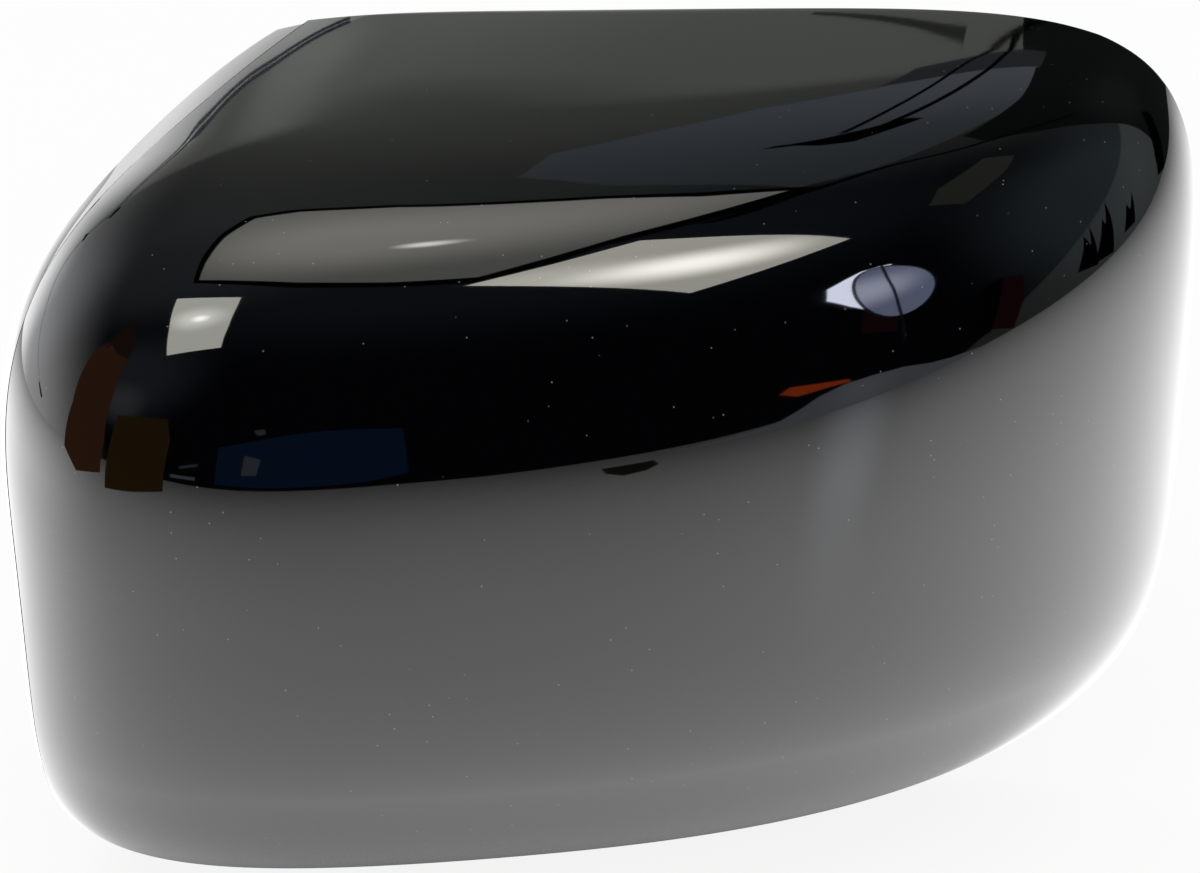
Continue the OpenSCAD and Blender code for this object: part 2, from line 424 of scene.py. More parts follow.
@dataclass(frozen=True)
class GlossBlackPaint:
    """Black base coat under a clear coat on ABS, sprayed: deep black with two mirror-like layers,
    a faint orange peel and a few dust nibs."""

    colour: str = "#020203"
    roughness: float = 0.03
    ior: float = 1.6
    cloud_mm: float = 60.0
    peel_mm: float = 2.4
    peel_height_mm: float = 0.0006
    nib_spacing_mm: float = 3.4
    nib_radius_mm: float = 0.16
    nib_share: float = 0.8
    nib_colour: str = "#6d6f72"

    def make(self) -> Finish:
        """Build the material.

        Returns:
            The finished material.
        """
        material, tree = fresh_material("gloss_black_painted_abs")
        place = add_node(tree, "TexCoord").outputs["Object"]
        # dust nibs: tiny pale grains, at most one in each cell, drawn larger than real dust to show
        cells = add_node(tree, "TexVoronoi", {"Scale": 1 / (self.nib_spacing_mm * MM), "Randomness": 1.0},
                         Vector=place)
        near = add_node(tree, "Math", {"operation": "LESS_THAN", 1: self.nib_radius_mm / self.nib_spacing_mm},
                        i0=cells.outputs["Distance"])
        few = add_node(tree, "SeparateColor", i0=cells.outputs["Color"])
        rare = add_node(tree, "Math", {"operation": "LESS_THAN", 1: self.nib_share}, i0=few.outputs[0])
        nib = add_node(tree, "Math", {"operation": "MULTIPLY"}, i0=near.outputs[0], i1=rare.outputs[0])
        tint = add_node(tree, "Mix",
                        {"data_type": "RGBA", 6: linear(self.colour), 7: linear(self.nib_colour)},
                        i0=nib.outputs[0])
        # slow change of gloss, as a sprayed coat has
        cloud = add_node(tree, "TexNoise", {"Scale": 1 / (self.cloud_mm * MM), "Detail": 2.0}, Vector=place)
        dull = add_node(tree, "MapRange", {1: 0.3, 2: 0.7, 3: self.roughness * 0.8, 4: self.roughness * 1.3},
                        i0=cloud.outputs[0])
        peel = add_node(tree, "TexNoise", {"Scale": 1 / (self.peel_mm * MM), "Detail": 1.0, "Roughness": 0.4},
                        Vector=place)
        bump = add_node(tree, "Bump", {"Strength": 1.0, "Distance": self.peel_height_mm * MM},
                        Height=peel.outputs[0])
        shader = add_node(tree, "BsdfPrincipled",
                          {"IOR": self.ior, "Coat Weight": 1.0, "Coat Roughness": 0.02, "Coat IOR": self.ior},
                          Base_Color=tint.outputs[2], Roughness=dull.outputs[0], Normal=bump.outputs[0],
                          Coat_Normal=bump.outputs[0])
        add_node(tree, "OutputMaterial", i0=shader.outputs[0])
        return material


@dataclass(frozen=True)
class SatinMouldedAbs:
    """Bare black ABS as it leaves a spark-eroded mould: charcoal, satin, with a fine even grain and faint
    flow marks."""

    colour: str = "#1b1c1e"
    lighter: str = "#232426"
    roughness: float = 0.42
    flow_mm: float = 35.0
    grain_mm: float = 0.25
    grain_height_mm: float = 0.012

    def make(self) -> Finish:
        """Build the material.

        Returns:
            The finished material.
        """
        material, tree = fresh_material("satin_moulded_abs")
        place = add_node(tree, "TexCoord").outputs["Object"]
        flow = add_node(tree, "TexNoise",
                        {"Scale": 1 / (self.flow_mm * MM), "Detail": 3.0, "Distortion": 1.2}, Vector=place)
        tint = add_node(tree, "Mix", {"data_type": "RGBA", 6: linear(self.colour), 7: linear(self.lighter)},
                        i0=flow.outputs[0])
        shine = add_node(tree, "MapRange",
                         {1: 0.3, 2: 0.7, 3: self.roughness - 0.06, 4: self.roughness + 0.08},
                         i0=flow.outputs[0])
        # the grain is drawn coarser than an eroded mould leaves it, so that it shows
        grain = add_node(tree, "TexNoise", {"Scale": 1 / (self.grain_mm * MM), "Detail": 2.0}, Vector=place)
        bump = add_node(tree, "Bump", {"Strength": 0.6, "Distance": self.grain_height_mm * MM},
                        Height=grain.outputs[0])
        shader = add_node(tree, "BsdfPrincipled", {"IOR": 1.53},
                          Base_Color=tint.outputs[2], Roughness=shine.outputs[0], Normal=bump.outputs[0])
        add_node(tree, "OutputMaterial", i0=shader.outputs[0])
        return material


@dataclass(frozen=True)
class PaintedShadowGapLine:
    """Painted shadow gap: a dull near-black finish on the edge by the door, so it reads as a thin dark line
    beside the gloss."""

    colour: str = "#08080a"
    lighter: str = "#101113"
    roughness: float = 0.9
    mottle_mm: float = 1.5

    def make(self) -> Finish:
        """Build the material.

        Returns:
            The finished material.
        """
        material, tree = fresh_material("painted_shadow_gap_line")
        place = add_node(tree, "TexCoord").outputs["Object"]
        # a random mottle in the dark tone of the painted shadow gap
        mottle = add_node(tree, "TexNoise", {"Scale": 1 / (self.mottle_mm * MM), "Detail": 2.0},
                         Vector=place)
        tint = add_node(tree, "Mix", {"data_type": "RGBA", 6: linear(self.colour), 7: linear(self.lighter)},
                        i0=mottle.outputs[0])
        shader = add_node(tree, "BsdfPrincipled",
                          {"IOR": 1.53, "Roughness": self.roughness, "Specular IOR Level": 0.02},
                          Base_Color=tint.outputs[2])
        add_node(tree, "OutputMaterial", i0=shader.outputs[0])
        return material


# Pieces of the cover.

@dataclass
class CoverShell:
    """The domed wall, from a grid that is laid over the face and given a thickness."""

    form: CoverForm
    cells: int = 200
    outer_round: float = 0.45
    smooth_under: float = 40.0
    fade: float = 3.0
    smooth_waves: int = 7
    on_line: float = 0.02
    corners: tuple[float, float] = (33.0, -33.0)

    def warp(self, angle: Array) -> Array:
        """Turn the grid's own angles so that its corners fall on the corners of the cover.

        Args:
            angle: Degrees round the unit disc, the grid's corners at 45, 135, 225 and 315.

        Returns:
            Turns in degrees.
        """
        top, low = self.form.door_corners()
        shift = np.array([self.corners[0] - 45, top - 135, low - 225, self.corners[1] + 360 - 315])
        at = np.radians([45.0, 135.0, 225.0, 315.0])
        waves = np.stack([np.ones(4), np.cos(at), np.sin(at), np.sin(2 * at)], axis=1)
        c = np.linalg.solve(waves, shift)
        a = np.radians(angle)
        return angle + c[0] + c[1] * np.cos(a) + c[2] * np.sin(a) + c[3] * np.sin(2 * a)

    def smooth_edge(self, turn: Array) -> Array:
        """Tilt of the edge with its corners smoothed away.

        Args:
            turn: Turns in degrees.

        Returns:
            Tilts in degrees.
        """
        table = np.arange(0, 360, 0.25)
        waves = np.fft.rfft(self.form.rim_tilt(table))
        waves[self.smooth_waves:] = 0
        return np.interp(turn, table, np.fft.irfft(waves, len(table)), period=360)

    def directions(self, u: Array, v: Array) -> Array:
        """Lay the square grid over the face.

        Args:
            u: Grid places across, -1 to 1.
            v: Grid places up, -1 to 1.

        Returns:
            A unit direction for each grid place.
        """
        x, y = u * np.sqrt(1 - v * v / 2), v * np.sqrt(1 - u * u / 2)
        share = np.minimum(np.hypot(x, y), 1)
        turn = self.warp(np.degrees(np.arctan2(y, x)) % 360) % 360
        tilt = mix(self.smooth_edge(turn), self.form.rim_tilt(turn), share ** self.fade)
        return headings(turn, share * tilt)

    def inner_points(self, d: Array, on_edge: Array) -> Array:
        """Points one wall inside the outer face, with the edge kept on its own plane.

        Args:
            d: Unit directions.
            on_edge: True for directions on the edge.

        Returns:
            Points in millimetres about the dome's centre.
        """
        p, n = self.form.face(d), self.form.normal(d)
        door, rear = self.form.plane_normal(Edge.DOOR), self.form.plane_normal(Edge.REAR)
        by_door = self.form.past(Edge.DOOR, p, -self.on_line) & on_edge
        plane = np.where(by_door[:, None], door, rear)
        across = np.sum(n * plane, axis=-1, keepdims=True)
        along = unit(n - across * plane)
        slid = along / np.sum(n * along, axis=-1, keepdims=True)
        return p - self.form.wall * np.where(on_edge[:, None], slid, n)

    def build(self, paint: Finish, moulded: Finish, shadow_line: Finish) -> Piece:
        """Model the shell.

        Args:
            paint: Finish of the outer face and the edge.
            moulded: Finish of the inner face.
            shadow_line: Finish of the painted shadow gap, a narrow dark line along the edge by the door.

        Returns:
            The finished piece.
        """
        deselect_all()
        bpy.ops.mesh.primitive_grid_add(x_subdivisions=self.cells, y_subdivisions=self.cells, size=2)
        shell = bpy.context.object
        shell.name = "cover_shell"
        extrude_all(-1)
        face_outwards(shell)
        grid = positions(shell)
        inner = grid[:, 2] < -0.5
        border = np.maximum(np.abs(grid[:, 0]), np.abs(grid[:, 1])) > 1 - 1e-5
        d = self.directions(np.clip(grid[:, 0], -1, 1), np.clip(grid[:, 1], -1, 1))
        points = np.where(inner[:, None], self.inner_points(d, border), self.form.face(d))
        # the grid's x is the outboard way and its y is up, so the outer face looks forward
        set_positions(shell, self.form.placed(points))
        # the third finish is a painted shadow gap: a dark line along the edge by the door
        for finish in (paint, moulded, shadow_line):
            shell.data.materials.append(finish)
        self.dress(shell, inner, border)
        self.round_edges(shell, inner, border)
        return shell

    def dress(self, shell: Piece, inner: Array, border: Array) -> None:
        """Give the inner side the moulded finish, and the last row of faces by the door the painted shadow
        gap's dark finish.

        Args:
            shell: The piece.
            inner: True for each vertex of the inner side.
            border: True for each vertex of the rim.
        """
        points = self.form.measured(positions(shell))
        at_door = border & ~inner & self.form.past(Edge.DOOR, points, -self.on_line)
        for face in shell.data.polygons:
            corners = list(face.vertices)
            if inner[corners].all():
                face.material_index = 1
            elif at_door[corners].sum() >= 2 and not inner[corners].any():
                face.material_index = 2

    def round_edges(self, shell: Piece, inner: Array, border: Array) -> None:
        """Break the sharp edges of the rim, and shade the piece.

        Args:
            shell: The piece.
            inner: True for each vertex of the inner side.
            border: True for each vertex of the rim.
        """
        make_active(shell)
        ends = edge_ends(shell)
        rim = border[ends].all(axis=1)
        select_edges(shell, rim & ~inner[ends].any(axis=1))
        bpy.ops.mesh.bevel(offset=self.outer_round * MM, segments=3, profile=0.5, affect="EDGES")
        bpy.ops.object.mode_set(mode="OBJECT")
        self.paint_door_shadow_line(shell)
        face_outwards(shell)
        bpy.ops.object.shade_smooth_by_angle(angle=math.radians(self.smooth_under))

    def paint_door_shadow_line(self, shell: Piece) -> None:
        """Give the rounded edge by the door the painted shadow gap's dark finish too.

        Args:
            shell: The piece, whose newly rounded faces are selected.
        """
        for face in shell.data.polygons:
            spot = self.form.measured(np.array(face.center))
            if face.select and self.form.past(Edge.DOOR, spot, -2 * self.outer_round):
                face.material_index = 2


@dataclass
class DoorSideTongue:
    """Thin strip, stepped in below the face, that tucks under the trim by the door."""

    form: CoverForm
    width: float = 9.0
    step: float = 0.6
    slope: float = 0.35
    thick: float = 1.2
    root: float = 2.4
    span: tuple[float, float] = (0.006, 0.86)
    rounded: float = 0.1
    crowding: float = 0.62
    edge: float = 0.2
    stations: int = 240
    across: int = 36

    def turns(self, share: Array) -> Array:
        """Turn shares of the edge by the door, from its top corner, into turns.

        Args:
            share: Shares from 0 to 1.

        Returns:
            Turns in degrees, spaced as the CAD model's spokes are.
        """
        power = self.crowding

        def uncrowd(turn: float) -> float:
            """Turn the turn of a spoke back into the even one that it was spaced by."""
            s = math.sin(math.radians(turn)) / self.form.drop
            c = math.cos(math.radians(turn)) / self.form.reach_in
            return math.degrees(math.atan2(math.copysign(abs(s) ** (1 / power), s),
                                           math.copysign(abs(c) ** (1 / power), c))) % 360

        first, last = map(uncrowd, self.form.door_corners())
        t = np.radians(mix(first, last, share))
        up = self.form.drop * np.sign(np.sin(t)) * np.abs(np.sin(t)) ** power
        out = self.form.reach_in * np.sign(np.cos(t)) * np.abs(np.cos(t)) ** power
        return np.degrees(np.arctan2(up, out)) % 360

    def width_at(self, share: Array) -> Array:
        """Width of the strip beyond the edge, with rounded ends."""
        end = np.minimum(share, self.span[0] + self.span[1] - share) / self.rounded
        return self.width * np.sqrt(1 - (1 - np.clip(end, 0, 1)) ** 2)

    def build(self, paint: Finish) -> Piece:
        """Model the strip.

        Args:
            paint: Its finish.

        Returns:
            The finished piece.
        """
        deselect_all()
        bpy.ops.mesh.primitive_grid_add(x_subdivisions=self.stations, y_subdivisions=self.across, size=2)
        strip = bpy.context.object
        strip.name = "door_side_tongue"
        extrude_all(-1)
        grid = positions(strip)
        share = mix(self.span[0], self.span[1], (1 - np.cos(np.pi * (grid[:, 0] + 1) / 2)) / 2)
        turn = self.turns(share)
        extra = mix(-self.root, self.width_at(share), (grid[:, 1] + 1) / 2)
        tilt = np.minimum(self.form.tilt_at(Edge.DOOR, turn, extra), self.form.tilt_at(Edge.REAR, turn))
        d = headings(turn, tilt)
        down = self.step + self.slope * np.clip(extra / self.width, 0, 1)
        down = down + np.where(grid[:, 2] < -0.5, self.thick, 0)
        set_positions(strip, self.form.placed(self.form.face(d) - self.form.normal(d) * down[:, None]))
        face_outwards(strip)
        soften(strip, self.edge, sharp=50, smooth=40)
        strip.data.materials.append(paint)
        return strip


@dataclass
class InnerFittings:
    """Clips, guide fins and locating pegs on the hidden side."""

    form: CoverForm
    clip_angles: tuple[float, ...] = (-68, -32, 0, 34, 62, 98, 226, 258)
    clip_width: float = 9.0
    clip_thick: float = 2.0
    clip_length: float = 26.0
    clip_short: float = 3.0
    clip_foot: float = 5.0
    clip_gap: float = 3.0
    barb: float = 1.6
    barb_ramp: float = 5.0
    fin_angles: tuple[float, ...] = (-50, 17, 80, 116, 242, 276)
    fin_thick: float = 1.4
    fin_height: float = 5.0
    fin_length: float = 18.0
    fin_short: float = 2.0
    peg_places: tuple[Place, ...] = ((-38, 26), (72, -14))
    peg_radius: float = 3.0
    post_radius: float = 5.5
    post_height: float = 12.0
    peg_length: float = 10.0
    peg_bevel: float = 0.8
    post_round: float = 0.4
    rod_sides: int = 64
    web_reach: float = 12.0
    web_thick: float = 1.6
    web_share: float = 0.6
    sink: float = 1.0
    edge: float = 0.25
    smooth_under: float = 35.0

    def profile_solid(self, name: str, outline: Array, thick: float, at: Array, out: Array) -> Piece:
        """Model a flat-sided solid from its outline, standing on the inner face.

        Args:
            name: The piece's name.
            outline: Points as out and back, millimetres from the foot.
            thick: Width of the solid, millimetres.
            at: The foot, in millimetres about the dome's centre.
            out: Unit direction that the outline's first number runs along.

        Returns:
            The piece.
        """
        deselect_all()
        bpy.ops.mesh.primitive_circle_add(vertices=len(outline), fill_type="NGON", radius=1)
        solid = bpy.context.object
        solid.name = name
        set_positions(solid, np.column_stack([outline, np.full(len(outline), -thick / 2)]))
        extrude_all(thick)
        local = positions(solid)
        side = np.cross(out, [0.0, 1.0, 0.0])
        world = at + local[:, :1] * out + local[:, 1:2] * np.array([0.0, 1.0, 0.0]) + local[:, 2:] * side
        set_positions(solid, self.form.placed(world))
        face_outwards(solid)
        soften(solid, self.edge, sharp=25, smooth=self.smooth_under)
        return solid

    def clip(self, number: int, turn: float) -> Piece:
        """Model one clip: a foot, a springy leg and a barb on its outer side.

        Args:
            number: Number for the piece's name.
            turn: Where it stands round the edge, degrees.

        Returns:
            The piece.
        """
        d = headings(np.array(turn), self.form.tilt_at(Edge.REAR, np.array(turn), -self.clip_length))
        n = self.form.normal(d)
        foot = self.form.face(d) - n * self.form.wall
        out = unit(np.array([n[0], 0.0, n[2]]))
        up = np.array([n @ out, n[1]])
        along = np.array([-up[1], up[0]])
        front = up * self.sink - along * self.clip_foot / 2
        rear = up * self.sink + along * self.clip_foot / 2
        lean = math.tan(math.radians(self.form.rim_lean))
        tip = self.form.rim_back + lean * foot[2] - self.clip_short - foot[1]
        gap, ramp = self.clip_gap, tip - self.barb_ramp
        outline = np.array([
            front, rear, [-gap, rear[1] + gap / 2], [-gap, ramp], [self.barb - gap, ramp],
            [-gap, tip], [-gap - self.clip_thick, tip], [-gap - self.clip_thick, front[1]],
        ])
        return self.profile_solid(f"clip_{number}", outline, self.clip_width, foot, out)

    def fin(self, number: int, turn: float) -> Piece:
        """Model one thin guide fin that follows the inner face up to the edge.

        Args:
            number: Number for the piece's name.
            turn: Where it stands round the edge, degrees.

        Returns:
            The piece.
        """
        end = self.form.tilt_at(Edge.REAR, np.array(turn), -self.fin_short)
        start = self.form.tilt_at(Edge.REAR, np.array(turn), -self.fin_short - self.fin_length)
        d0 = headings(np.array(turn), end)
        n0 = self.form.normal(d0)
        out = unit(np.array([n0[0], 0.0, n0[2]]))
        foot = self.form.face(d0) - n0 * self.form.wall

        def line(down: float, steps: Array) -> Array:
            """Points of the fin's side, as out and back from its foot, at a depth below the outer face."""
            d = headings(np.full(len(steps), float(turn)), mix(start, end, steps))
            p = self.form.face(d) - self.form.normal(d) * down - foot
            return np.column_stack([p @ out, p[:, 1]])

        low = line(self.form.wall - self.sink, np.arange(0, 7) / 6)
        high = line(self.form.wall + self.fin_height, np.arange(6, 0, -1) / 6)
        return self.profile_solid(f"guide_fin_{number}", np.vstack([low, high]), self.fin_thick, foot, out)

    def peg(self, name: str, across: float, up: float) -> Piece:
        """Model one locating peg on its webbed post.

        Args:
            name: The piece's name.
            across: Place across, millimetres from the dome's centre.
            up: Place up, millimetres from the dome's centre.

        Returns:
            The piece.
        """
        d = self.form.aim(across, up)
        n = self.form.normal(d)
        p = self.form.face(d) - n * self.form.wall
        foot = np.array([across, p[1] + (n[0] * (p[0] - across) + n[2] * (p[2] - up)) / n[1], up])
        to_back = Matrix.Rotation(math.radians(-90), 4, "X")
        parts = []
        for radius, low, high, bevel, steps in (
            (self.post_radius, -self.post_radius, self.post_height, self.post_round, 3),
            (self.peg_radius, 0.0, self.post_height + self.peg_length, self.peg_bevel, 1),
        ):
            deselect_all()
            middle = (0, 0, (high + low) / 2 * MM)
            bpy.ops.mesh.primitive_cylinder_add(vertices=self.rod_sides, radius=radius * MM,
                                                depth=(high - low) * MM, location=middle)
            rod = bpy.context.object
            bpy.ops.object.transform_apply(location=True, rotation=True, scale=True)
            top = positions(rod)[:, 2] > (high - 0.01) * MM
            select_edges(rod, top[edge_ends(rod)].all(axis=1))
            bpy.ops.mesh.bevel(offset=bevel * MM, segments=steps, affect="EDGES")
            bpy.ops.object.mode_set(mode="OBJECT")
            parts.append(rod)
        tall = self.post_height * self.web_share
        for quarter in (0, 90):
            deselect_all()
            bpy.ops.mesh.primitive_cube_add(size=1, location=(0, 0, (tall - self.post_radius) / 2 * MM))
            web = bpy.context.object
            web.scale = (2 * self.web_reach * MM, self.web_thick * MM, (tall + self.post_radius) * MM)
            web.rotation_euler = (0, 0, math.radians(quarter))
            bpy.ops.object.transform_apply(location=True, rotation=True, scale=True)
            top = positions(web)[:, 2] > (tall - 0.01) * MM
            select_edges(web, top[edge_ends(web)].any(axis=1))
            bpy.ops.mesh.bevel(offset=self.edge * MM, segments=2, affect="EDGES")
            bpy.ops.object.mode_set(mode="OBJECT")
            parts.append(web)
        deselect_all()
        for part in parts:
            part.select_set(True)
        bpy.context.view_layer.objects.active = parts[0]
        bpy.ops.object.join()
        post = bpy.context.object
        post.name = name
        place = Matrix.Translation(Vector(self.form.placed(foot))) @ to_back
        post.data.transform(place)
        make_active(post)
        bpy.ops.object.mode_set(mode="EDIT")
        bpy.ops.mesh.select_all(action="SELECT")
        root = self.form.placed(foot + n * self.sink)
        bpy.ops.mesh.bisect(plane_co=tuple(root), plane_no=tuple(n), use_fill=True, clear_outer=True)
        face_outwards(post)
        bpy.ops.object.shade_smooth_by_angle(angle=math.radians(self.smooth_under))
        return post

    def build(self, moulded: Finish) -> list[Piece]:
        """Model every fitting.

        Args:
            moulded: Their finish.

        Returns:
            The pieces.
        """
        pieces = [self.clip(i + 1, turn) for i, turn in enumerate(self.clip_angles)]
        pieces += [self.fin(i + 1, turn) for i, turn in enumerate(self.fin_angles)]
        pieces += [self.peg(name, *place) for name, place in zip(("peg_inner", "peg_outer"), self.peg_places)]
        for piece in pieces:
            piece.data.materials.append(moulded)
        return pieces


# Studio: camera, light, paper and the room that the gloss shows.

def direction(azimuth: float, elevation: float) -> Vector:
    """Turn degrees into a unit vector.

    Args:
        azimuth: Degrees about the Z axis, 0 to the front and 90 outboard.
        elevation: Degrees above the horizon.

    Returns:
        The direction in the CAD model's frame.
    """
    a, e = math.radians(azimuth), math.radians(elevation)
    return Vector((math.sin(a) * math.cos(e), -math.cos(a) * math.cos(e), math.sin(e)))


@dataclass(frozen=True)
class Glow:
    """Soft spot of light in the reflected room: full inside the inner angle, gone at the outer one."""

    azimuth: float
    elevation: float
    inner: float
    outer: float
    colour: Colour


def glowing(tree: Tree, centre: Vector, base: Colour, glows: tuple[Glow, ...]) -> bpy.types.NodeSocket:
    """Add up a base colour and soft spots of light, each placed by its direction from the cover.

    Args:
        tree: The node tree to add to.
        centre: The point that the directions start from.
        base: Light where there is no spot.
        glows: The spots.

    Returns:
        The socket with the sum.
    """
    place = add_node(tree, "TexCoord").outputs["Object"]
    away = add_node(tree, "VectorMath", {"operation": "SUBTRACT", 1: centre}, i0=place)
    way = add_node(tree, "VectorMath", {"operation": "NORMALIZE"}, i0=away.outputs[0])
    total = add_node(tree, "CombineXYZ", {0: base[0], 1: base[1], 2: base[2]}).outputs[0]
    for glow in glows:
        aim = direction(glow.azimuth, glow.elevation)
        dot = add_node(tree, "VectorMath", {"operation": "DOT_PRODUCT", 1: aim}, i0=way.outputs[0])
        angle = add_node(tree, "Math", {"operation": "ARCCOSINE"}, i0=dot.outputs["Value"])
        share = add_node(tree, "MapRange",
                         {"interpolation_type": "SMOOTHSTEP", 1: math.radians(glow.inner),
                          2: math.radians(glow.outer), 3: 1.0, 4: 0.0}, i0=angle.outputs[0])
        lit = add_node(tree, "VectorMath", {"operation": "SCALE", 0: glow.colour}, Scale=share.outputs[0])
        total = add_node(tree, "VectorMath", {"operation": "ADD"}, i0=total, i1=lit.outputs[0]).outputs[0]
    return total


def glow_material(name: str, centre: Vector, base: Colour, glows: tuple[Glow, ...]) -> Finish:
    """Make a light-giving material that isn't sampled as a lamp.

    Args:
        name: The material's name.
        centre: The point that the directions start from.
        base: Light where there is no spot.
        glows: The spots.

    Returns:
        The material.
    """
    material, tree = fresh_material(name)
    glow = add_node(tree, "Emission", {1: 1.0}, i0=glowing(tree, centre, base, glows))
    add_node(tree, "OutputMaterial", i0=glow.outputs[0])
    material.cycles.emission_sampling = "NONE"
    return material


def only_in_gloss(piece: Piece) -> None:
    """Let only reflections see a stage object."""
    piece.visible_camera = piece.visible_diffuse = piece.visible_transmission = False
    piece.visible_volume_scatter = piece.visible_shadow = False


def oval(middle: Place, half_sizes: tuple[float, float], lean: float,
         corners: int = 40) -> tuple[Place, ...]:
    """Return places round an oval.

    Args:
        middle: Azimuth and elevation of its middle, degrees.
        half_sizes: Half of its width and height, degrees.
        lean: How far it leans outboard for each degree up.
        corners: Number of places.

    Returns:
        Azimuths and elevations, the first one again at the end.
    """
    places = []
    for i in range(corners + 1):
        turn = 2 * math.pi * i / corners
        across, up = half_sizes[0] * math.cos(turn), half_sizes[1] * math.sin(turn)
        places.append((middle[0] + across + lean * up, middle[1] + up))
    return tuple(places)


def curve_through(places: tuple[Place, ...], steps: int = 5) -> tuple[Place, ...]:
    """Draw a smooth curve through a few places.

    Args:
        places: Azimuths and elevations.
        steps: New places for each stretch.

    Returns:
        Azimuths and elevations along the curve.
    """
    known = np.array([places[0], *places, places[-1]])
    curve = []
    for a, b, c, d in zip(known, known[1:], known[2:], known[3:]):
        for t in np.arange(steps) / steps:
            curve.append(tuple(b + t * ((c - a) / 2 + t * (a - 2.5 * b + 2 * c - d / 2
                                                          + t * (1.5 * (b - c) + (d - a) / 2)))))
    return (*curve, places[-1])


@dataclass(frozen=True)
class Reflected:
    """A card, light or dark, that only gloss sees, placed by directions from the cover."""

    name: str
    light: Colour
    places: tuple[Place, ...]
    glows: tuple[Glow, ...] = ()
    distance: float = 3.0
    drawn: Drawn = Drawn.CARD
    widths: tuple[float, float] = (0.5, 0.5)

    def sides(self) -> list[Vector]:
        """Return the two sides of a line, which changes evenly from its first width to its last."""
        ways = [direction(*place) for place in self.places]
        last = len(ways) - 1
        left, right = [], []
        for i, way in enumerate(ways):
            along = ways[min(i + 1, last)] - ways[max(i - 1, 0)]
            half = way.cross(along).normalized() * math.radians(mix(*self.widths, i / last) / 2)
            left.append(way - half)
            right.append(way + half)
        return left + right

    def build(self, centre: Vector) -> None:
        """Make the card or the line.

        Args:
            centre: The point that the directions start from.
        """
        deselect_all()
        if self.drawn is Drawn.LINE:
            ways = self.sides()
            bpy.ops.mesh.primitive_grid_add(x_subdivisions=len(self.places) - 1, y_subdivisions=1, size=2)
        else:
            ways = [direction(*place) for place in self.places]
            bpy.ops.mesh.primitive_circle_add(vertices=len(ways), radius=1, fill_type="NGON")
        piece = bpy.context.object
        piece.name = self.name
        set_positions(piece, np.array([centre + self.distance * way for way in ways]))
        piece.data.materials.append(glow_material(self.name, centre, self.light, self.glows))
        only_in_gloss(piece)


@dataclass(frozen=True)
class ReflectedLine(Reflected):
    """A thin thing that only gloss sees, drawn along its places and hung in front of the cards."""

    distance: float = 2.9
    drawn: Drawn = Drawn.LINE


BLACK = (0.0, 0.0, 0.0)
ROOM_BASE = (0.0012, 0.0015, 0.0025)
ROOM_GLOWS = (
    Glow(-175, 12, 8, 30, (0.03, 0.032, 0.03)),
    Glow(178, 30, 15, 42, (0.057, 0.06, 0.054)),
    Glow(160, -62, 85.6, 86.8, (0.075, 0.078, 0.072)),
    Glow(112, 22, 14, 40, (0.07, 0.09, 0.10)),
    Glow(-125, 50, 10, 40, (0.06, 0.065, 0.07)),
    Glow(-118, 20, 6, 26, (0.12, 0.125, 0.14)),
    Glow(-167, 15, 3, 8, (0.04, 0.043, 0.042)),
    Glow(-163.5, 16.2, 1, 4, (0.08, 0.085, 0.085)),
    Glow(-132, 4, 4, 16, (0.5, 0.5, 0.5)),
    Glow(-50, 20, 2, 12, (0.09, 0.09, 0.09)),
    Glow(-52, 32, 6, 28, (0.055, 0.062, 0.072)),
    Glow(0, 90, 10, 50, (0.026, 0.031, 0.037)),
    Glow(-148, -32, 34, 49, (0.82, 0.82, 0.82)),
    Glow(-108, -14, 14, 60, (1.2, 1.2, 1.22)),
)

RAIL_TONE = (0.03, 0.04, 0.05)
RAIL = ((-94, 1.5), (-104.5, 6), (-121, 11.5), (-134, 12.5), (-141.5, 14), (-147, 15.5), (-153, 13.5),
        (-156.5, 12.8), (-158, 13.5), (-160, 14.2), (-162, 14.8), (-165.5, 14.5))

